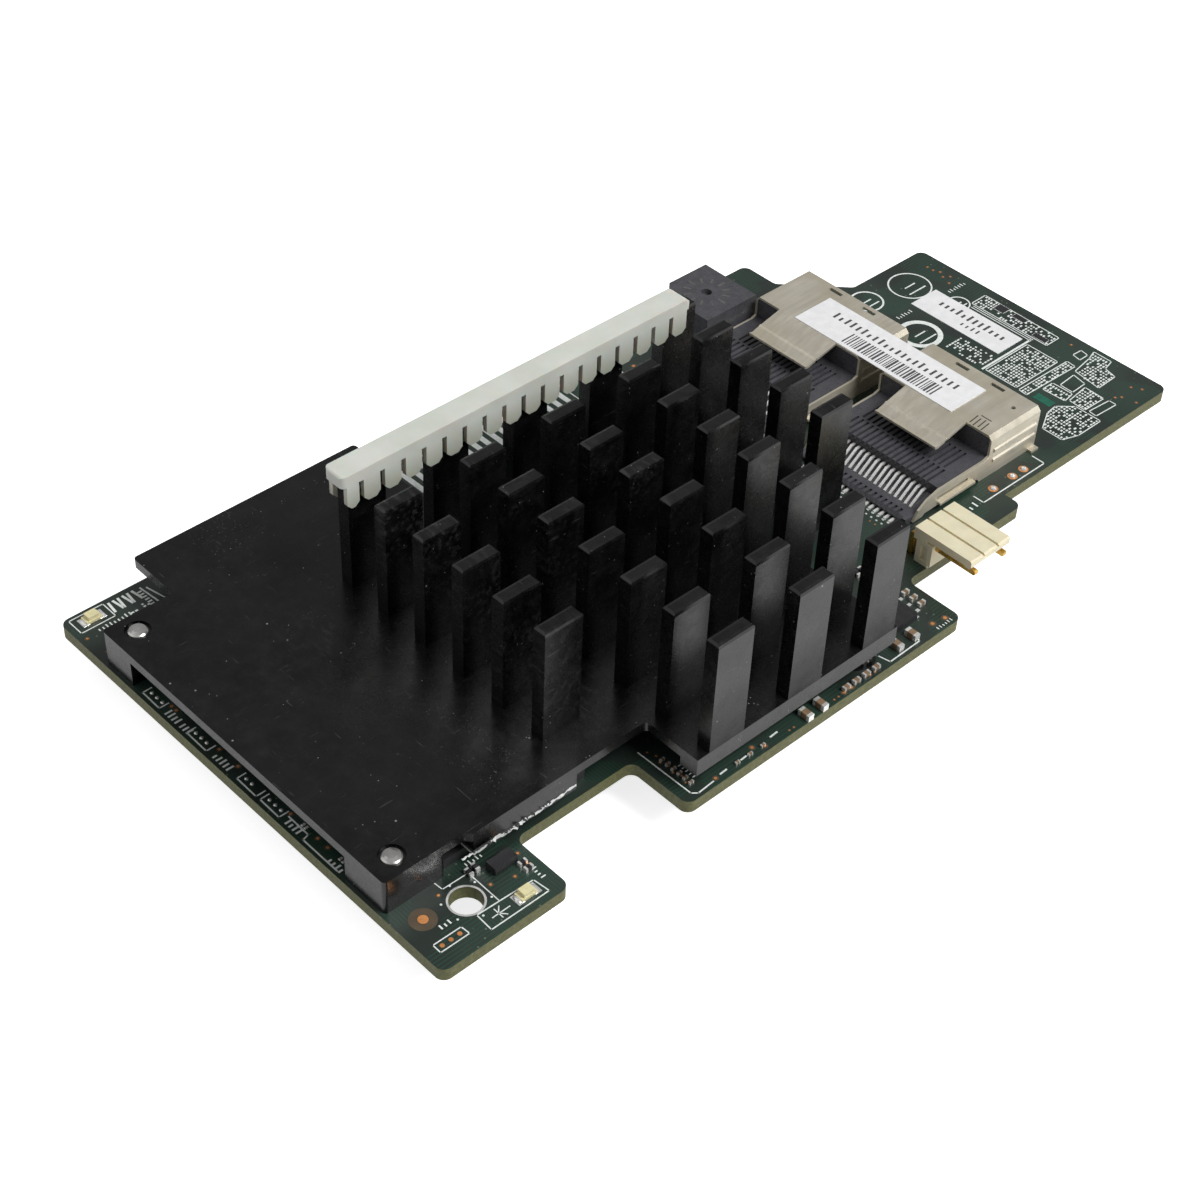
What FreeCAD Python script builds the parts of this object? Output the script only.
import FreeCAD, Part
import math
import os

# Mezzanine RAID controller card: a populated circuit board with a one-piece
# pin-fin heatsink over the processor and memory, a castellated nylon guard on
# the last row of fins, two right-angle four-lane disk ports, a backup connector,
# a keyed service header and a board-to-board connector underneath.
#
# Modelling axes, in millimetres: X runs along the board from its free end to
# its port end, Y from the service edge to the far edge, Z up from the top of
# the board. The parts are exported about the board's mounting hole (see ORIGIN).

Vector = FreeCAD.Vector

# ---- circuit board ---------------------------------------------------------
board_length = 128.5
board_depth = 64.6
board_thickness = 1.57
board_corner = 1.1           # radius of the routed corners
foot_width = 16.4            # the foot with the mounting hole
notch_width = 16.2           # gap between the foot and the main edge
notch_depth = 8.2
wing_length = 32.2           # the port wing, from the board's port end
wing_ahead_of_cage = 3.65    # wing's service edge to the near port
header_edge_rise = 2.6       # how far the header's edge is ahead of the wing's
wing_back_cut = 12.9         # how far the wing's far edge is set in
wing_back_length = 21.0
hole_x = 7.5
hole_y = 5.3
hole_radius = 1.75
fit_gap = 0.05               # side clearance of parts that seat in one another

# ---- heatsink --------------------------------------------------------------
sink_top = 4.5               # top of the base plate above the board
sink_plate = 1.2             # thickness of the plain plate
sink_rim_bottom = 2.2        # underside of the stiff rims
sink_side_margin = 0.45      # plate edge to the board's free end
sink_back_margin = 0.8
sink_front = 0.9             # front face of the finned part
sink_to_ports = 20.8         # right end to the rear of the ports
sink_corner_cut = 11.2       # how far the service corner is cut back
sink_neck = 18.4             # depth at which the cut-back corner starts
sink_plain_overlap = 6.0     # plain plate carried past the shoulder
sink_past_fins = 1.6         # plate past the last row of fins
sink_shoulder = 34.5         # where the narrow front part starts
sink_left_front = 9.1        # front edge beside the leg
sink_step_x = 10.4           # where the front edge steps out over the memory
sink_mid_front = 8.4         # front edge over the memory
led_window_x = 9.6           # free corner beside the lamp
led_window_depth = 8.4
sink_corner = 0.5
leg_length_x = 7.6
front_leg_depth = 6.1
back_leg_depth = 5.0
rim_width = 2.4

# ---- fins ------------------------------------------------------------------
fin_top = 19.2
fin_length = 5.05
fin_thickness = 1.75
fin_pitch_x = 11.6
fin_pitch_y = 6.165
fin_first_x = 24.55
fin_chamfer = 0.42
fin_end_chamfer = 0.25
fin_back_clear = 17.2        # bare strip behind the last row, at least

# ---- fin guard -------------------------------------------------------------
guard_wall = 0.66
guard_web = 1.45
guard_overhang = 1.15        # past the first fin
guard_end_cover = 0.65       # web past the last finger
finger_pitch = 2.84
finger_gap = 0.64
finger_length = 3.0
finger_nose = 0.55
guard_corner = 0.6
guard_end_round = 1.1

# ---- chips under the heatsink ----------------------------------------------
processor_side = 27.0
processor_height = 1.7
processor_inset = 25.6       # its middle, from the plate's right end
processor_y = 27.6
package_chamfer = 1.2
memory_length = 11.5
memory_width = 9.0
memory_height = 1.2
memory_pitch = 9.9
memory_leg_gap = 0.4         # clear of the front leg
memory_front_setback = 7.2   # middle of the front chips, from the plate's edge
memory_back_x = 9.6
memory_back_inset = 20.4     # middle of the back chips, from the plate's far edge
pad_margin = 0.7             # how far a thermal pad stands past what it covers
pad_front_end = 1.8          # plain pedestal past the front pad
pad_height = 0.8

# ---- fixings ---------------------------------------------------------------
rivet_inset_x = 2.9          # from the plate's edge
rivet_front_inset = 2.35
rivet_back_inset = 1.9
rivet_radius = 0.95
rivet_head_radius = 1.1
rivet_head_height = 0.5
rivet_seat_radius = 1.45     # ring recess round the head
rivet_seat_depth = 0.3
rivet_tail_radius = 1.6
rivet_tail_height = 0.5
boss_radius = 2.6
screw_radius = 0.95
screw_head_radius = 1.9
screw_head_height = 1.2
screw_tip_cover = 0.8        # plate left above the blind hole

# ---- disk ports ------------------------------------------------------------
plug_landing = 22.3          # board left in front of a port for its plug
cage_depth = 9.2
cage_width = 17.65
cage_height = 6.0
cage_sheet = 0.3
cage_bend = 0.55
cage_pitch = 21.0
rear_cage_inset = 11.6       # far port's far side to the board's far edge
strip_length = 13.2          # low side rails behind the cage
strip_height = 2.9
strip_lift = 0.2
flap_width = 9.6
flap_reach = 5.4
flap_drop = 1.3
latch_slot_length = 2.1
latch_slot_width = 0.55
latch_slot_spacing = 5.6
latch_slot_inset = 0.65
bead_height = 0.6
bead_proud = 0.2
bead_level = 3.7
bead_spacing = 1.5
ground_tab_length = 6.4      # outward tab along the foot of the side rail
ground_tab_reach = 0.5
ground_tab_level = 0.9
lug_width = 1.3              # foot lugs at the mouth
lug_reach = 0.7
cage_peg_length = 0.9
cage_peg_drop = 1.95
contact_count = 18
contact_pitch = 0.8
contact_width = 0.32
contact_sheet = 0.2
slab_top = 2.95              # grooved rear shelf of the housing
slab_length = 8.9
ramp_length = 2.6
ramp_toe = 0.25
ramp_head = 1.5
comb_length = 2.7
comb_top = 0.85
comb_lift = 0.28             # room for the solder tails below the comb
comb_slot = 0.36
tail_foot = 0.9              # solder foot past the comb
groove_width = 0.34
groove_depth = 0.45
back_block = 1.7             # thickness of the housing's rear wall
jaw_length = 4.0
jaw_slot = 1.3
jaw_thickness = 1.2
floor_thickness = 0.6

# ---- labels ----------------------------------------------------------------
label_thickness = 0.1
cage_label_depth = 6.55
cage_label_length = 25.6
board_label_inset = 10.7     # from the board's port end
board_label_width = 5.0
board_label_setback = 20.4   # from the board's far edge
board_label_length = 14.7

# ---- backup connector ------------------------------------------------------
backup_gap = 0.4             # from the far port cage
backup_length = 8.8
backup_depth = 9.1
backup_height = 5.5
backup_step = 1.7
backup_chamfer = 0.5
backup_dimple = 0.7
backup_wall = 1.3
backup_mouth_depth = 5.2
backup_ways = 5
backup_pitch = 1.25

# ---- keyed header ----------------------------------------------------------
header_behind_cage = 17.95   # header's left side, from the rear of the ports
header_ways = 3
header_pitch = 2.5
header_side = 0.9            # outer pin centre to the body's side
header_base_front = 0.35     # base wall set out past the board's edge
header_base_depth = 2.3
header_base_height = 3.3
header_lock_top = 4.7
header_lock_sheet = 1.0
header_lock_reach = 5.5
header_lock_back = 0.5
header_groove = 0.32
header_notch = 0.7
pin_side = 0.6
pin_level = 2.8
pin_reach = 5.75
pin_tail_back = 0.9
pin_tail_drop = 2.2
pin_hole_radius = 0.5

# ---- board-to-board connector underneath -----------------------------------
mezzanine_length = 34.0
mezzanine_width = 6.6
mezzanine_height = 4.0
mezzanine_inset = 5.4        # its middle, in from the far edge
mezzanine_wall = 0.9
mezzanine_floor = 1.0
mezzanine_tongue = 1.6
mezzanine_contacts = 24
mezzanine_pitch = 1.27
mezzanine_contact_width = 0.5
mezzanine_contact_sheet = 0.25

# ---- small parts -----------------------------------------------------------
led_size = (2.0, 1.25, 0.8)
led_edge_gap = 1.7           # lamp's middle, from the nearest long edge
corner_led_x = 3.1
foot_led_offset = 4.9        # from the mounting hole
sot_size = (2.9, 1.6, 1.0)
foot_logic_offset = (5.6, 1.2)
strip_logic_inset = 1.6      # from the plate's free end
strip_logic_spacing = 10.5
regulator_side = 5.0
regulator_height = 0.9
regulator_gap = 1.6          # from the narrow front part of the plate
regulator_setback = 3.1      # from the service edge
chip_end_share = 0.25        # share of a chip's length that is metal
chip_tiny = (0.6, 0.3, 0.3)  # length, width, height
chip_small = (1.0, 0.5, 0.5)
chip_medium = (1.6, 0.8, 0.8)
service_row_y = 0.8          # line of small parts along the service edge

# ---- worked-out places -----------------------------------------------------
ORIGIN = Vector(hole_x, hole_y, -board_thickness)
board_under = -board_thickness
port_mouth = board_length - plug_landing
cage_back = port_mouth - cage_depth
front_cage_y = board_depth - rear_cage_inset - cage_width - cage_pitch
wing_edge_depth = front_cage_y - wing_ahead_of_cage
header_edge_depth = wing_edge_depth - header_edge_rise
header_edge_end = board_length - wing_length
wing_back_start = board_length - wing_back_length
sink_left = sink_side_margin
sink_right = cage_back - sink_to_ports
main_edge_end = sink_right - sink_side_margin
sink_front_right = sink_right - sink_corner_cut
sink_back = board_depth - sink_back_margin
sink_plain_back_end = sink_shoulder + sink_plain_overlap
led_window_y = board_depth - led_window_depth
fin_room_y = board_depth - fin_back_clear - fin_thickness - sink_front
fin_rows = int(fin_room_y / fin_pitch_y) + 1
fin_columns = int((sink_right - fin_first_x - fin_length) / fin_pitch_x) + 1
guard_row_y = sink_front + (fin_rows - 1) * fin_pitch_y
sink_fin_back = guard_row_y + fin_thickness + sink_past_fins
guard_start = fin_first_x - guard_overhang
fin_span_end = fin_first_x + (fin_columns - 1) * fin_pitch_x + fin_length
guard_fingers = int((fin_span_end - guard_start) / finger_pitch)
processor_x = sink_right - processor_inset
memory_front_x = sink_left + leg_length_x + memory_leg_gap + memory_width / 2
memory_front_y = sink_mid_front + memory_front_setback
memory_back_y = sink_back - memory_back_inset
memory_room_end = processor_x - processor_side / 2


def memory_count(first_x):
    """How many chips fit in a row before the processor."""
    return max(1, int((memory_room_end - first_x + memory_width / 2) / memory_pitch))


mezzanine_x = processor_x + 0.35 * processor_side
header_x = cage_back - header_behind_cage
board_label_x = board_length - board_label_inset
board_label_y = board_depth - board_label_setback - board_label_length
header_width = (header_ways - 1) * header_pitch + 2 * header_side
header_base_y = header_edge_depth - header_base_front
key_pins = (0, header_ways - 1)


def block(x0, x1, y0, y1, z0, z1):
    return Part.makeBox(x1 - x0, y1 - y0, z1 - z0, Vector(x0, y0, z0))


def post(x, y, radius, z0, z1):
    return Part.makeCylinder(radius, z1 - z0, Vector(x, y, z0))


def polygon_face(points):
    return Part.Face(Part.makePolygon(points + [points[0]]))


def slice_xz(points, y0, y1):
    """Extrude a closed X-Z outline from y0 to y1."""
    face = polygon_face([Vector(x, y0, z) for x, z in points])
    return face.extrude(Vector(0, y1 - y0, 0))


def slice_yz(points, x0, x1):
    """Extrude a closed Y-Z outline from x0 to x1."""
    face = polygon_face([Vector(x0, y, z) for y, z in points])
    return face.extrude(Vector(x1 - x0, 0, 0))


def strip_points(path, thickness):
    """Outline of a bent strip: its lower line and the same line lifted."""
    lower = [(x, z - thickness / 2) for x, z in path]
    upper = [(x, z + thickness / 2) for x, z in reversed(path)]
    return lower + upper


def rounded_plate(corners, z0, z1):
    """Plate whose outline has (x, y, radius) corners; radius 0 stays sharp."""
    edges = []
    starts, ends, arcs = [], [], []
    count = len(corners)
    for index, (x, y, radius) in enumerate(corners):
        here = Vector(x, y, z0)
        before = Vector(corners[index - 1][0], corners[index - 1][1], z0)
        after = Vector(*corners[(index + 1) % count][:2], z0)
        back = (before - here).normalize()
        ahead = (after - here).normalize()
        if radius <= 0:
            starts.append(here)
            ends.append(here)
            arcs.append(None)
            continue
        half = back.getAngle(ahead) / 2
        reach = radius / math.tan(half)
        inward = (back + ahead).normalize()
        middle = here + inward * (radius / math.sin(half) - radius)
        starts.append(here + back * reach)
        ends.append(here + ahead * reach)
        arcs.append(Part.Arc(starts[-1], middle, ends[-1]).toShape())
    for index in range(count):
        if arcs[index]:
            edges.append(arcs[index])
        edges.append(Part.makeLine(ends[index], starts[(index + 1) % count]))
    return Part.Face(Part.Wire(edges)).extrude(Vector(0, 0, z1 - z0))


def fused(shapes):
    return shapes[0].multiFuse(shapes[1:]).removeSplitter() if len(shapes) > 1 else shapes[0]


def export(name, solids):
    """Write one node, moved so that the mounting hole is the origin."""
    moved = []
    for solid in solids:
        copy = solid.copy()
        copy.translate(ORIGIN * -1)
        moved.append(copy)
    shape = moved[0] if len(moved) == 1 else Part.makeCompound(moved)
    shape.exportStep("parts/%s.step" % name)


# ---- places shared by the board and what it carries ------------------------
def rivet_places():
    x = sink_left + rivet_inset_x
    return [(x, sink_left_front + rivet_front_inset),
            (x, led_window_y - sink_corner - rivet_back_inset)]


def sink_screw_places():
    reach = boss_radius + sink_corner
    return [(sink_front_right - reach, sink_front + reach),
            (sink_right - reach, sink_fin_back - fin_pitch_y - reach)]


def header_pin_x(way):
    return header_x + header_side + way * header_pitch


def header_tail_y():
    return header_base_y + header_base_depth + pin_tail_back + pin_side / 2


def cage_y(row):
    """Near outer face of a port cage; row 0 is at the service edge."""
    return front_cage_y + row * cage_pitch


def cage_peg_places(row):
    along = (cage_back + 0.25 * cage_depth, port_mouth - 0.25 * cage_depth)
    near = cage_y(row) + cage_sheet / 2
    far = near + cage_width - cage_sheet
    return [(x, y) for x in along for y in (near, far)]


def contact_ys(row):
    middle = cage_y(row) + cage_width / 2
    first = middle - (contact_count - 1) * contact_pitch / 2
    return [first + index * contact_pitch for index in range(contact_count)]


# ---- circuit board ---------------------------------------------------------
def circuit_board():
    c = board_corner
    step = min(c, 0.45 * header_edge_depth)
    notch_end = foot_width + notch_width
    wing_back = board_depth - wing_back_cut
    ramp = wing_back_cut - 5 * board_corner
    outline = [
        (0, 0, c), (foot_width, 0, c), (foot_width, notch_depth, c),
        (notch_end, notch_depth, c), (notch_end, 0, c), (main_edge_end, 0, step),
        (main_edge_end, header_edge_depth, step), (header_edge_end, header_edge_depth, step),
        (header_edge_end, wing_edge_depth, 0), (board_length, wing_edge_depth, c),
        (board_length, wing_back, c), (wing_back_start + ramp, wing_back, c),
        (wing_back_start, wing_back + ramp, c), (wing_back_start, board_depth, c),
        (0, board_depth, c)]
    board = rounded_plate(outline, board_under, 0)
    holes = [(hole_x, hole_y, hole_radius)]
    holes += [(x, y, rivet_radius + fit_gap) for x, y in rivet_places()]
    holes += [(x, y, screw_radius + fit_gap) for x, y in sink_screw_places()]
    holes += [(header_pin_x(way), header_tail_y(), pin_hole_radius) for way in key_pins]
    drills = [post(x, y, r, board_under - 1, 1) for x, y, r in holes]
    half_x, half_y = cage_peg_length / 2 + fit_gap, cage_sheet / 2 + fit_gap
    for row in (0, 1):
        drills += [block(x - half_x, x + half_x, y - half_y, y + half_y, board_under - 1, 1)
                   for x, y in cage_peg_places(row)]
    return board.cut(Part.makeCompound(drills))


# ---- heatsink --------------------------------------------------------------
def sink_outline():
    c = sink_corner
    step = sink_left_front - sink_mid_front
    return [
        (sink_left, sink_left_front, c), (sink_step_x, sink_left_front, 0),
        (sink_step_x + step, sink_mid_front, 0),
        (sink_shoulder, sink_mid_front, c), (sink_shoulder, sink_front, 0),
        (sink_front_right, sink_front, 0), (sink_front_right, sink_neck, c),
        (sink_right, sink_neck, c), (sink_right, sink_fin_back, c),
        (sink_plain_back_end, sink_fin_back, c), (sink_plain_back_end, sink_back, c),
        (led_window_x, sink_back, c), (led_window_x, led_window_y, c),
        (sink_left, led_window_y, c)]


def fin_places():
    """Lower-left corners of the fins; the corner columns are shorter."""
    places = []
    for column in range(fin_columns):
        x = fin_first_x + column * fin_pitch_x
        over_neck = x + fin_length > sink_front_right
        past_shoulder = x < sink_shoulder
        for row in range(fin_rows):
            y = sink_front + row * fin_pitch_y
            if over_neck and y < sink_neck:
                continue
            if past_shoulder and y < sink_mid_front + fin_pitch_y / 2:
                continue
            places.append((x, y))
    return places


def fin(x, y):
    c = fin_chamfer
    e = fin_end_chamfer
    far = y + fin_thickness
    end = x + fin_length
    across = [(y, sink_top), (far, sink_top), (far, fin_top - c), (far - c / 4, fin_top - c / 4),
              (far - c, fin_top), (y + c, fin_top), (y + c / 4, fin_top - c / 4),
              (y, fin_top - c)]
    along = [(x, sink_top), (end, sink_top), (end, fin_top - e), (end - e, fin_top),
             (x + e, fin_top), (x, fin_top - e)]
    return slice_yz(across, x, end).common(slice_xz(along, y, far))


def pad_areas():
    """(x0, x1, y0, y1, chip top) of each thermal pad and its pedestal."""
    half = processor_side / 2 - package_chamfer
    front_x0 = sink_step_x + sink_left_front - sink_mid_front
    front_run = (memory_count(memory_front_x) - 1) * memory_pitch
    front_x1 = memory_front_x + front_run + memory_width / 2 - pad_margin
    back_x0 = memory_back_x - memory_width / 2 + pad_margin
    back_run = (memory_count(memory_back_x) - 1) * memory_pitch
    back_x1 = memory_back_x + back_run + memory_width / 2 - pad_margin
    back_half = memory_length / 2 - pad_margin
    return {
        "processor": (processor_x - half, processor_x + half,
                      processor_y - half, processor_y + half, processor_height),
        "front": (front_x0, front_x1 - pad_front_end, sink_mid_front,
                  memory_front_y + memory_length / 2 - pad_margin, memory_height),
        "back": (back_x0, back_x1, memory_back_y - back_half,
                 memory_back_y + back_half, memory_height)}


def heatsink():
    plate_under = sink_top - sink_plate
    plate = rounded_plate(sink_outline(), plate_under, sink_top)
    solids = [plate]
    for x0, x1, y0, y1, chip_top in pad_areas().values():
        solids.append(block(x0, x1, y0, y1, chip_top + pad_height, plate_under))
    rim_end = sink_front + rim_width
    solids.append(block(sink_shoulder, sink_front_right, sink_front, rim_end,
                        sink_rim_bottom, plate_under))
    solids.append(block(led_window_x + sink_corner, sink_plain_back_end - sink_corner,
                        sink_back - rim_width, sink_back, sink_rim_bottom + sink_corner,
                        plate_under))
    leg_x = sink_left + leg_length_x
    front_leg = rounded_plate(
        [(sink_left, sink_left_front, sink_corner), (leg_x, sink_left_front, sink_corner),
         (leg_x, sink_left_front + front_leg_depth, sink_corner),
         (sink_left, sink_left_front + front_leg_depth, 0)], 0, plate_under)
    back_leg = rounded_plate(
        [(sink_left, led_window_y - back_leg_depth, 0),
         (leg_x, led_window_y - back_leg_depth, sink_corner),
         (leg_x, led_window_y, sink_corner), (sink_left, led_window_y, sink_corner)],
        0, plate_under)
    solids += [front_leg, back_leg]
    solids += [post(x, y, boss_radius, 0, plate_under) for x, y in sink_screw_places()]
    solids += [fin(x, y) for x, y in fin_places()]
    body = fused(solids)
    drills = [post(x, y, rivet_radius + fit_gap, -1, sink_top + 1) for x, y in rivet_places()]
    drills += [post(x, y, rivet_seat_radius, sink_top - rivet_seat_depth, sink_top + 1)
               for x, y in rivet_places()]
    drills += [post(x, y, screw_radius + fit_gap, -1, sink_top - screw_tip_cover)
               for x, y in sink_screw_places()]
    return body.cut(Part.makeCompound(drills))


# ---- fin guard -------------------------------------------------------------
def fin_guard():
    near = guard_row_y - guard_wall
    far = guard_row_y + fin_thickness + guard_wall
    seat = fin_top + fit_gap
    top = seat + guard_web
    start = guard_start
    finger = finger_pitch - finger_gap
    end = start + guard_fingers * finger_pitch - finger_gap + guard_end_cover
    c = guard_corner
    web = rounded_plate([(start, near, c), (end, near, c), (end, far, c), (start, far, c)],
                        seat, top)
    side = rounded_plate([(start, seat, 0), (end, seat, 0), (end, top, guard_end_round),
                          (start, top, c / 2)], -far - 1, -near + 1)
    side.rotate(Vector(0, 0, 0), Vector(1, 0, 0), 90)
    web = web.common(side)
    tip = seat - finger_length
    nose = min(finger_nose, finger / 3)
    parts = [web]
    for index in range(guard_fingers):
        x0 = start + index * finger_pitch + (c if index == 0 else 0)
        x1 = start + index * finger_pitch + finger
        points = [(x0, seat), (x0, tip + nose), (x0 + nose, tip), (x1 - nose, tip),
                  (x1, tip + nose), (x1, seat)]
        inner_near = guard_row_y - fit_gap
        inner_far = guard_row_y + fin_thickness + fit_gap
        parts.append(slice_xz(points, near, inner_near))
        parts.append(slice_xz(points, inner_far, far))
    return fused(parts)


# ---- chips and pads --------------------------------------------------------
def raid_processor():
    half = processor_side / 2
    inner = half - package_chamfer
    x, y = processor_x, processor_y
    deck = processor_height * 0.55
    base = block(x - half, x + half, y - half, y + half, 0, deck)
    lid = rounded_plate([(x - inner, y - inner, 0.8), (x + inner, y - inner, 0.8),
                         (x + inner, y + inner, 0.8), (x - inner, y + inner, 0.8)],
                        deck, processor_height)
    return fused([base, lid])


def memory_places():
    places = []
    for first_x, y in ((memory_front_x, memory_front_y), (memory_back_x, memory_back_y)):
        places += [(first_x + i * memory_pitch, y) for i in range(memory_count(first_x))]
    return places


def memory_chips():
    w, l = memory_width / 2, memory_length / 2
    return [block(x - w, x + w, y - l, y + l, 0, memory_height) for x, y in memory_places()]


def thermal_pad(name):
    x0, x1, y0, y1, chip_top = pad_areas()[name]
    return block(x0, x1, y0, y1, chip_top, chip_top + pad_height)


# ---- fixings ---------------------------------------------------------------
def turned(points, x, y):
    """Revolve an (r, z) outline about the vertical axis at x, y."""
    face = polygon_face([Vector(x + r, y, z) for r, z in points])
    return face.revolve(Vector(x, y, 0), Vector(0, 0, 1), 360)


def rivet(x, y):
    head, high = rivet_head_radius, rivet_head_height
    under = board_under
    seat = sink_top - rivet_seat_depth
    points = [(0, under - rivet_tail_height), (rivet_tail_radius * 0.8, under - rivet_tail_height),
              (rivet_tail_radius, under - rivet_tail_height / 2), (rivet_tail_radius, under),
              (rivet_radius, under), (rivet_radius, seat), (head, seat),
              (head, seat + high * 0.45), (head * 0.86, seat + high * 0.75),
              (head * 0.5, seat + high * 0.95), (0, seat + high)]
    return turned(points, x, y)


def sink_screw(x, y):
    under = board_under
    low = under - screw_head_height
    socket = screw_radius * 0.6
    points = [(0, low + screw_head_height / 2), (socket, low + screw_head_height / 2),
              (socket, low), (screw_head_radius * 0.8, low),
              (screw_head_radius, low + screw_head_height / 3), (screw_head_radius, under),
              (screw_radius, under), (screw_radius, sink_top - screw_tip_cover - fit_gap),
              (0, sink_top - screw_tip_cover - fit_gap)]
    return turned(points, x, y)


# ---- disk ports ------------------------------------------------------------
def port_cage(row):
    near = cage_y(row)
    far = near + cage_width
    t, bend, top = cage_sheet, cage_bend, cage_height
    outer = [(near, 0), (near, top - bend), (near + bend, top), (far - bend, top),
             (far, top - bend), (far, 0), (far - t, 0), (far - t, top - bend),
             (far - bend, top - t), (near + bend, top - t), (near + t, top - bend),
             (near + t, 0)]
    parts = [slice_yz(outer, cage_back, port_mouth)]
    for y in (near, far - t):
        end = cage_back - strip_length
        rail = [(cage_back, 0), (cage_back, strip_height + 0.3),
                (cage_back - 0.8, strip_height), (end + 4.2, strip_height),
                (end + 2.2, strip_height * 0.82), (end + 0.8, strip_height * 0.5),
                (end, strip_lift), (end + 1.6, strip_lift), (end + 2.0, strip_lift + 0.35),
                (cage_back - 1.6, strip_lift + 0.35), (cage_back - 1.2, 0)]
        parts.append(slice_xz(rail, y, y + t))
    reach = ground_tab_reach
    for wall, out in ((near, -1), (far, 1)):
        x1 = cage_back - 2.6
        x0 = x1 - ground_tab_length
        inner = wall - out * t
        outer_edge = wall + out * reach
        level = ground_tab_level
        tab = [(inner, level + t), (outer_edge, level - 0.12 + t), (outer_edge, level - 0.12),
               (wall, level), (inner, level)]
        parts.append(slice_yz(tab, x0, x1))
        lug = [(inner, 0), (wall + out * lug_reach, 0), (wall + out * lug_reach, t),
               (inner, t)]
        lug_x = port_mouth - lug_width
        parts.append(slice_yz(lug, lug_x, port_mouth))
    middle = (near + far) / 2
    edge = cage_back
    level = top - t / 2
    tip_x, tip_z = edge - flap_reach, level - flap_drop
    path = [(edge + t, level), (edge, level)]
    for share, lift in ((0.60, 0.0), (0.645, 0.16), (0.69, 0.0), (0.90, -0.05)):
        path.append((edge - flap_reach * share, level - flap_drop * share + lift))
    path.append((tip_x, tip_z + 0.22))
    parts.append(slice_xz(strip_points(path, t), middle - flap_width / 2,
                          middle + flap_width / 2))
    for face, out in ((near, -1), (far, 1)):
        for mid_level in (bead_level, bead_level - bead_spacing):
            low, high = mid_level - bead_height / 2, mid_level + bead_height / 2
            rib = [(face, low), (face + out * bead_proud, low + 0.15),
                   (face + out * bead_proud, high - 0.15), (face, high)]
            parts.append(slice_yz(rib, cage_back + 0.8, port_mouth - 0.5))
    for x, y in cage_peg_places(row):
        half = cage_peg_length / 2
        parts.append(block(x - half, x + half, y - t / 2, y + t / 2, -cage_peg_drop, 0))
    body = fused(parts)
    slot_x = port_mouth - latch_slot_inset - latch_slot_width
    cuts = []
    for side in (-1, 1):
        y = middle + side * latch_slot_spacing / 2
        cuts.append(block(slot_x, slot_x + latch_slot_width, y - latch_slot_length / 2,
                          y + latch_slot_length / 2, top - 2 * t, top + t))
    cuts.append(post(port_mouth - 2.7, near + 2.15, 0.3, top - 2 * t, top + t))
    window = cage_back - strip_length / 2
    for y in (near, far - t):
        cuts.append(block(window - 2.6, window + 3.0, y - t, y + 2 * t,
                          ground_tab_level + 2 * t, ground_tab_level + 3.2 * t))
    return body.cut(Part.makeCompound(cuts))


def housing_walls(row):
    near = cage_y(row) + cage_sheet + fit_gap
    return near, near + cage_width - 2 * (cage_sheet + fit_gap)


def housing_levels():
    """Rear end, shelf end and ramp toe of a port housing along X."""
    shelf_end = cage_back - slab_length
    return shelf_end, shelf_end - ramp_length


def jaw_levels():
    middle = (floor_thickness + cage_height - cage_sheet) / 2
    return middle - jaw_slot / 2, middle + jaw_slot / 2


def port_housing(row):
    near, far = housing_walls(row)
    roof = cage_height - cage_sheet - fit_gap
    shelf_end, toe = housing_levels()
    wall_back = cage_back + fit_gap
    wall_front = wall_back + back_block
    bevel = cage_bend - cage_sheet
    profile = [(toe, 0), (port_mouth - 0.6, 0), (port_mouth - 0.6, floor_thickness),
               (wall_front, floor_thickness), (wall_front, roof - bevel), (wall_back, roof - bevel),
               (wall_back, slab_top), (shelf_end, slab_top), (shelf_end, ramp_head),
               (toe, ramp_toe)]
    parts = [slice_xz(profile, near, far)]
    parts.append(block(wall_back, wall_front, near + bevel, far - bevel, roof - bevel - 0.1, roof))
    low, high = jaw_levels()
    half = contact_count * contact_pitch / 2 + 0.5
    middle = (near + far) / 2
    for z0 in (low - jaw_thickness, high):
        jaw = [(wall_front - 0.1, z0), (wall_front + jaw_length, z0),
               (wall_front + jaw_length, z0 + jaw_thickness), (wall_front - 0.1, z0 + jaw_thickness)]
        parts.append(slice_xz(jaw, middle - half, middle + half))
    ys = contact_ys(row)
    comb_end = toe - comb_length
    bar = [(comb_end, comb_lift), (toe - 0.5, comb_lift), (toe - 0.3, 0), (toe + 0.2, 0),
           (toe + 0.2, comb_lift), (toe - 0.15, comb_top - 0.2), (toe - 0.4, comb_top),
           (comb_end + 0.4, comb_top), (comb_end, comb_top - 0.3)]
    parts.append(slice_xz(bar, near, far))
    for side_low, side_high in ((near, near + 0.6), (far - 0.6, far)):
        parts.append(block(comb_end, toe + 0.3, side_low, side_high, 0, comb_top))
    body = fused(parts)
    cuts = []
    half_comb = comb_length / 2
    for y in ys:
        cuts.append(block(comb_end - 0.1, comb_end + half_comb, y - comb_slot / 2,
                          y + comb_slot / 2, comb_top - 0.35, comb_top + 0.2))
        cuts.append(block(toe - 0.6, toe + 0.6, y - comb_slot / 2, y + comb_slot / 2,
                          -0.1, ramp_head + 0.6))
    bands = ((shelf_end - 0.1, shelf_end + 3.2, 0.0), (shelf_end + 3.5, shelf_end + 7.6, 0.5))
    for x0, x1, offset in bands:
        for contact_y in ys[:contact_count - (1 if offset else 0)]:
            y = contact_y + offset * contact_pitch
            cuts.append(block(x0, x1, y - groove_width / 2, y + groove_width / 2,
                              slab_top - groove_depth, slab_top + 0.2))
    return body.cut(Part.makeCompound(cuts))


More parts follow.
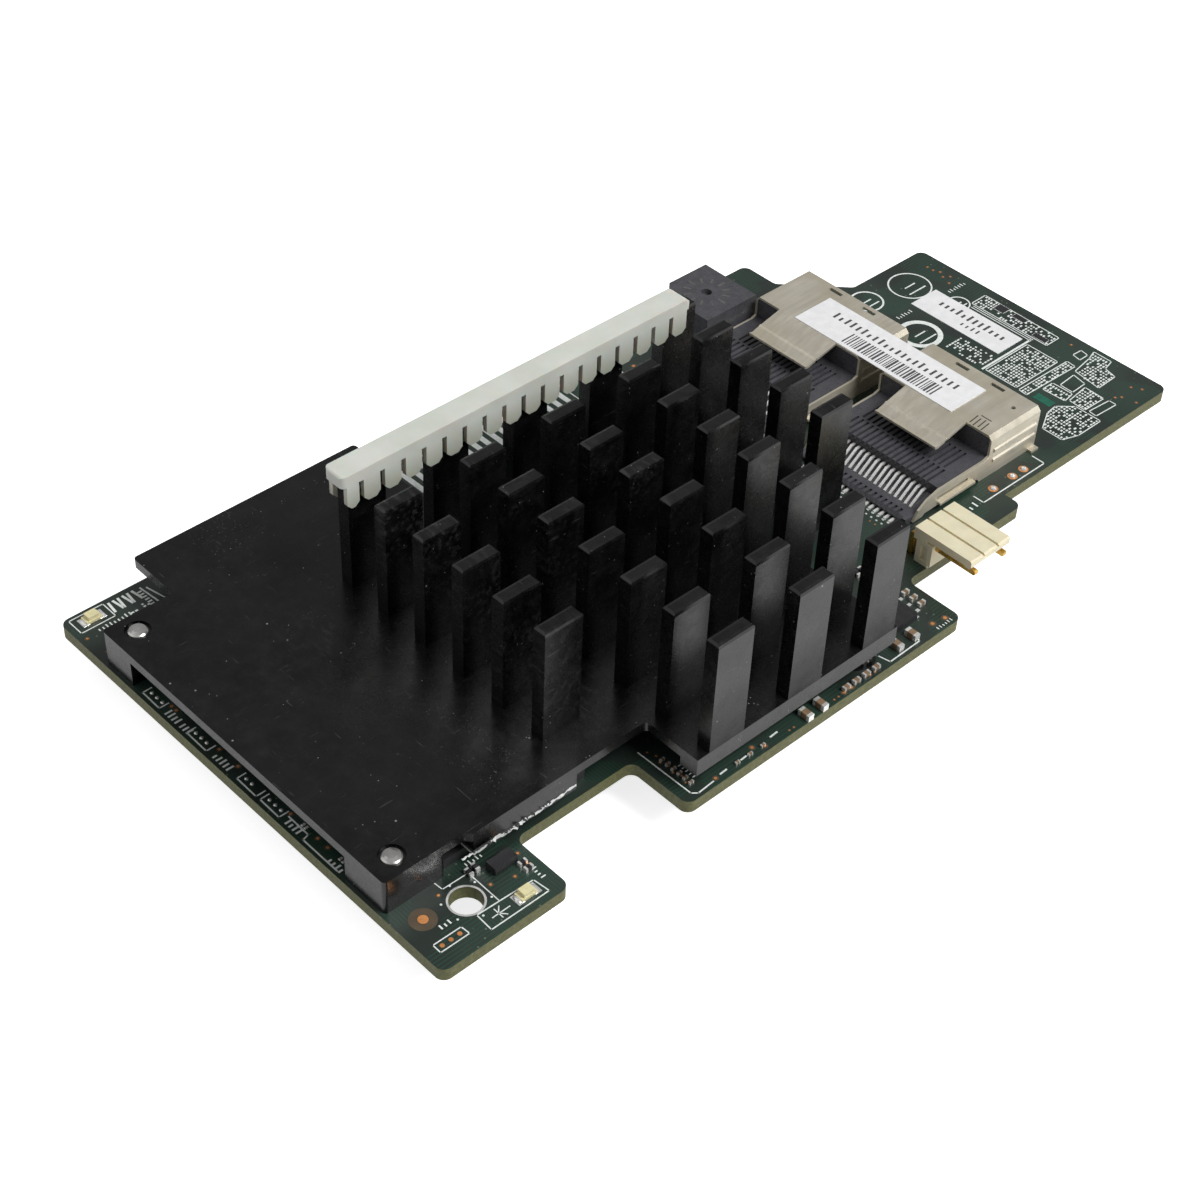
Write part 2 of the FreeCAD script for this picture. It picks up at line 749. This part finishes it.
def port_contacts(row):
    shelf_end, toe = housing_levels()
    solids = []
    foot = toe - comb_length - tail_foot
    half = contact_sheet / 2
    ramp_z = ramp_head + 0.35
    path = [(foot, half), (toe - 0.3, half), (shelf_end - 0.6, ramp_z), (shelf_end, ramp_z)]
    wall_front = cage_back + fit_gap + back_block
    low, high = jaw_levels()
    for y in contact_ys(row):
        y0, y1 = y - contact_width / 2, y + contact_width / 2
        solids.append(slice_xz(strip_points(path, contact_sheet), y0, y1))
        solids.append(block(wall_front + 0.6, wall_front + jaw_length - 0.4, y0, y1,
                            high - contact_sheet, high))
        solids.append(block(wall_front + 0.6, wall_front + jaw_length - 0.4, y0, y1,
                            low, low + contact_sheet))
    return solids


def cage_label():
    middle = (cage_y(0) + cage_y(1) + cage_width) / 2
    half = cage_label_length / 2
    x0 = cage_back + fit_gap * 2
    return block(x0, x0 + cage_label_depth, middle - half, middle + half,
                 cage_height, cage_height + label_thickness)


def board_label():
    x0, y0 = board_label_x, board_label_y
    return block(x0, x0 + board_label_width, y0, y0 + board_label_length, 0, label_thickness)


# ---- backup connector ------------------------------------------------------
def backup_corner():
    """Far right corner region: right end lines up with the cage's rear."""
    x1 = cage_back + 0.6
    y0 = cage_y(1) + cage_width + bead_proud + backup_gap
    return x1 - backup_length, x1, y0, y0 + backup_depth


def backup_connector():
    x0, x1, y0, y1 = backup_corner()
    c = backup_chamfer
    split = y0 + backup_depth * 0.45
    outline = [(x0, y0), (x1, y0), (x1, y1), (x0 + backup_step + c, y1),
               (x0 + backup_step, y1 - c), (x0 + backup_step, split), (x0, split)]
    face = polygon_face([Vector(x, y, 0) for x, y in outline])
    body = face.extrude(Vector(0, 0, backup_height))
    x, y = (x0 + x1) / 2, (y0 + y1) / 2
    dimple = post(x, y, backup_dimple, backup_height - backup_dimple, backup_height + 1)
    w = backup_wall
    mouth = block(x1 - backup_mouth_depth, x1 + 1, y0 + w, y1 - w, w, backup_height - w)
    return body.cut(Part.makeCompound([dimple, mouth]))


def backup_contacts():
    """Blades in the mouth and the solder tails behind the body."""
    x0, x1, y0, y1 = backup_corner()
    first = (y0 + y1 - (backup_ways - 1) * backup_pitch) / 2
    root = x1 - backup_mouth_depth
    level = backup_height / 2
    split = y0 + backup_depth * 0.45
    solids = []
    for index in range(backup_ways):
        y = first + index * backup_pitch
        left = x0 if y + 0.25 < split else x0 + backup_step
        if abs(y - split) < 0.5:
            left = x0 + backup_step
        path = [(left, 0.75), (left - 0.35, 0.75), (left - 0.55, 0.1), (left - 1.2, 0.1)]
        solids.append(slice_xz(strip_points(path, 0.2), y - 0.2, y + 0.2))
        solids.append(block(root, root + 0.7 * backup_mouth_depth, y - 0.25, y + 0.25,
                            level - 0.25, level + 0.25))
    return solids


# ---- keyed header ----------------------------------------------------------
def key_header_pin(way):
    x = header_pin_x(way) - pin_side / 2
    tip = header_base_y - pin_reach
    back = header_tail_y() + pin_side / 2
    low, high = pin_level - pin_side / 2, pin_level + pin_side / 2
    nose = pin_side / 3
    profile = [(tip, low + nose / 2), (tip + nose, low), (back - pin_side, low),
               (back - pin_side, board_under - pin_tail_drop + board_thickness),
               (back, board_under - pin_tail_drop + board_thickness),
               (back, high - nose), (back - nose, high), (tip + nose, high),
               (tip, high - nose / 2)]
    return slice_yz(profile, x, x + pin_side)


def key_header():
    x0, x1 = header_x, header_x + header_width
    y0 = header_base_y
    y1 = y0 + header_base_depth
    lock_low = header_lock_top - header_lock_sheet
    lock_back = y1 + header_lock_back
    lock_front = y0 - header_lock_reach
    base = block(x0, x1, header_edge_depth, y1, 0, header_base_height)
    lip = block(x0, x1, y0, header_edge_depth, 0.3, header_base_height)
    neck = block(x0, x1, y1 - 1.3, lock_back, header_base_height - 0.2, lock_low)
    barb = [(lock_front, lock_low + 0.1), (lock_front + 0.3, lock_low - 0.25),
            (lock_front + 1.2, lock_low), (lock_back, lock_low), (lock_back, header_lock_top),
            (lock_front + 0.2, header_lock_top), (lock_front, header_lock_top - 0.2)]
    plate = slice_yz(barb, x0, x1)
    body = fused([base, lip, neck, plate])
    cuts = []
    for way in range(1, header_ways):
        x = header_pin_x(way) - header_pitch / 2
        cuts.append(block(x - header_groove / 2, x + header_groove / 2, lock_front - 1,
                          lock_back + 1, header_lock_top - header_groove, header_lock_top + 1))
    for x, side in ((x0, -1), (x1, 1)):
        low, high = sorted((x + side, x - side * 0.45))
        cuts.append(block(low, high, y0 + header_notch, y1 - header_notch,
                          0.6, header_base_height - 0.6))
    hole = pin_side / 2 + fit_gap / 2
    for way in key_pins:
        x = header_pin_x(way)
        cuts.append(block(x - hole, x + hole, y0 - 1, y1 + 1, pin_level - hole, pin_level + hole))
    return body.cut(Part.makeCompound(cuts))


# ---- board-to-board connector ----------------------------------------------
def mezzanine_box():
    y = board_depth - mezzanine_inset
    return (mezzanine_x - mezzanine_length / 2, mezzanine_x + mezzanine_length / 2,
            y - mezzanine_width / 2, y + mezzanine_width / 2)


def mezzanine_connector():
    x0, x1, y0, y1 = mezzanine_box()
    low = board_under - mezzanine_height
    corner = 0.6
    body = rounded_plate([(x0, y0, corner), (x1, y0, corner), (x1, y1, corner),
                          (x0, y1, corner)], low, board_under)
    w = mezzanine_wall
    pocket = block(x0 + w, x1 - w, y0 + w, y1 - w, low - 1, board_under - mezzanine_floor)
    middle = (y0 + y1) / 2
    tongue = block(x0 + 2 * w, x1 - 2 * w, middle - mezzanine_tongue / 2,
                   middle + mezzanine_tongue / 2, low + 0.6, board_under - mezzanine_floor)
    return fused([body.cut(pocket), tongue])


def mezzanine_contact_strips():
    x0, x1, y0, y1 = mezzanine_box()
    middle = (y0 + y1) / 2
    first = mezzanine_x - (mezzanine_contacts - 1) * mezzanine_pitch / 2
    low = board_under - mezzanine_height
    solids = []
    for index in range(mezzanine_contacts):
        x = first + index * mezzanine_pitch
        a, b = x - mezzanine_contact_width / 2, x + mezzanine_contact_width / 2
        for out in (-1, 1):
            face = middle + out * mezzanine_tongue / 2
            y_low, y_high = sorted((face, face + out * mezzanine_contact_sheet))
            solids.append(block(a, b, y_low, y_high, low + 0.9, board_under - mezzanine_floor))
            wall = y0 if out < 0 else y1
            foot_low, foot_high = sorted((wall, wall + out * 0.8))
            solids.append(block(a, b, foot_low, foot_high,
                                board_under - mezzanine_contact_sheet, board_under))
    return solids


# ---- small parts -----------------------------------------------------------
def chip_row(start, step, count, size, along_x=True):
    """Places of equal chips: (x, y, length, width, height, along_x) each."""
    (x, y), (dx, dy) = start, step
    return [(x + i * dx, y + i * dy, *size, along_x) for i in range(count)]


def capacitor_places():
    notch_end = foot_width + notch_width
    row = service_row_y
    rows = chip_row((notch_end + 2.4, row + 1.2), (0, 0.85), 6, chip_tiny)
    run = sink_front_right - sink_shoulder
    rows += chip_row((sink_shoulder + 0.20 * run, row), (1.9, 0), 3, chip_tiny)
    rows += chip_row((sink_shoulder + 0.54 * run, row), (2.3, 0), 2, chip_medium, False)
    rows += chip_row((sink_shoulder + 0.75 * run, row), (1.6, 0), 4, chip_small)
    rows += chip_row((sink_front_right + 1.4, 2 * row), (2.6, 0), 2, chip_medium, False)
    rows += chip_row((sink_right - 2.4, 4.4), (0, 1.2), 3, chip_small)
    rows += chip_row((sink_right + 2.2, sink_fin_back - 4.0), (0, -6.3), 3, chip_medium)
    return rows


def resistor_places():
    rows = chip_row((hole_x + 2.4, hole_y + 2.4), (0.9, 0.1), 2, chip_small, False)
    rows += chip_row((hole_x + 7.2, hole_y - 1.0), (0, 0.9), 2, chip_small)
    rows += chip_row((sink_front_right + 7.0, sink_neck - 5.8), (0.9, 0), 4, chip_small, False)
    rows += chip_row((header_x + 0.4, wing_edge_depth + 2.7), (1.5, 0.3), 2, chip_small)
    rows += chip_row((4.9, led_window_y + 1.6), (1.1, 0.25), 3, chip_small, False)
    rows += chip_row((sink_plain_back_end + 6.0, board_depth - 1.6), (3.1, 0), 5, chip_small)
    return rows


def underside_places():
    rows = []
    for column in range(4):
        x = processor_x - 6 + column * 4
        rows += chip_row((x, processor_y - 6), (0, 3.0), 5, chip_small)
    return rows


def chip_boxes(places, under=False):
    """Bodies and metal ends of two-ended chips standing on the board."""
    bodies, ends = [], []
    for x, y, length, width, height, along_x in places:
        half, wide = length / 2, width / 2
        cap = length * chip_end_share
        z0, z1 = (board_under - height, board_under) if under else (0, height)
        spans = [(-half, -half + cap, ends), (-half + cap, half - cap, bodies),
                 (half - cap, half, ends)]
        for low, high, group in spans:
            if along_x:
                group.append(block(x + low, x + high, y - wide, y + wide, z0, z1))
            else:
                group.append(block(x - wide, x + wide, y + low, y + high, z0, z1))
    return bodies, ends


def lead_chip(x, y, size, along_x=True):
    """Small moulded chip with sloped sides."""
    length, width, height = size if along_x else (size[1], size[0], size[2])
    half_l, half_w = length / 2, width / 2
    slope = height * 0.12
    waist = height / 2
    points = [(y - half_w + slope, 0.05), (y + half_w - slope, 0.05), (y + half_w, waist),
              (y + half_w - slope, height), (y - half_w + slope, height), (y - half_w, waist)]
    return slice_yz(points, x - half_l, x + half_l)


def logic_places():
    left = sink_left + sot_size[1] / 2 + strip_logic_inset
    top = led_window_y - back_leg_depth
    strip = [(left, top - (i + 0.5) * strip_logic_spacing, False) for i in range(3)]
    return [(hole_x + foot_logic_offset[0], hole_y + foot_logic_offset[1], True)] + strip


def status_leds():
    l, w, h = led_size
    corner_led = (corner_led_x, board_depth - led_edge_gap)
    foot_led = (hole_x + foot_led_offset, led_edge_gap + 0.4)
    solids = []
    for x, y in (corner_led, foot_led):
        base = block(x - l / 2, x + l / 2, y - w / 2, y + w / 2, 0, h * 0.4)
        lens = block(x - l / 3, x + l / 3, y - w / 2.4, y + w / 2.4, h * 0.4, h)
        solids.append(fused([base, lens]))
    return solids


def regulator_chip():
    half = regulator_side / 2
    x = sink_front_right + regulator_gap + half
    y = regulator_setback + half
    return block(x - half, x + half, y - half, y + half, 0, regulator_height)


def build():
    os.makedirs("parts", exist_ok=True)
    export("circuit_board", [circuit_board()])
    export("heatsink", [heatsink()])
    export("fin_guard", [fin_guard()])
    export("raid_processor", [raid_processor()])
    export("processor_thermal_pad", [thermal_pad("processor")])
    export("memory_chips", memory_chips())
    export("memory_thermal_pads", [thermal_pad("front"), thermal_pad("back")])
    export("heatsink_rivets", [rivet(x, y) for x, y in rivet_places()])
    export("heatsink_screws", [sink_screw(x, y) for x, y in sink_screw_places()])
    for row, place in enumerate(("front", "rear")):
        export("port_cage_" + place, [port_cage(row)])
        export("port_housing_" + place, [port_housing(row)])
        export("port_contacts_" + place, port_contacts(row))
    export("cage_label", [cage_label()])
    export("board_label", [board_label()])
    export("backup_connector", [backup_connector()])
    export("backup_contacts", backup_contacts())
    export("key_header", [key_header()])
    export("key_header_pins", [key_header_pin(way) for way in key_pins])
    export("mezzanine_connector", [mezzanine_connector()])
    export("mezzanine_contacts", mezzanine_contact_strips())
    capacitors, ends = chip_boxes(capacitor_places())
    resistors, more_ends = chip_boxes(resistor_places())
    under_bodies, under_ends = chip_boxes(underside_places(), under=True)
    export("chip_capacitors", capacitors)
    export("chip_resistors", resistors)
    export("chip_terminations", ends + more_ends)
    export("underside_capacitors", under_bodies)
    export("underside_terminations", under_ends)
    export("logic_chips", [lead_chip(x, y, sot_size, along) for x, y, along in logic_places()])
    export("status_leds", status_leds())
    export("regulator_chip", [regulator_chip()])


build()
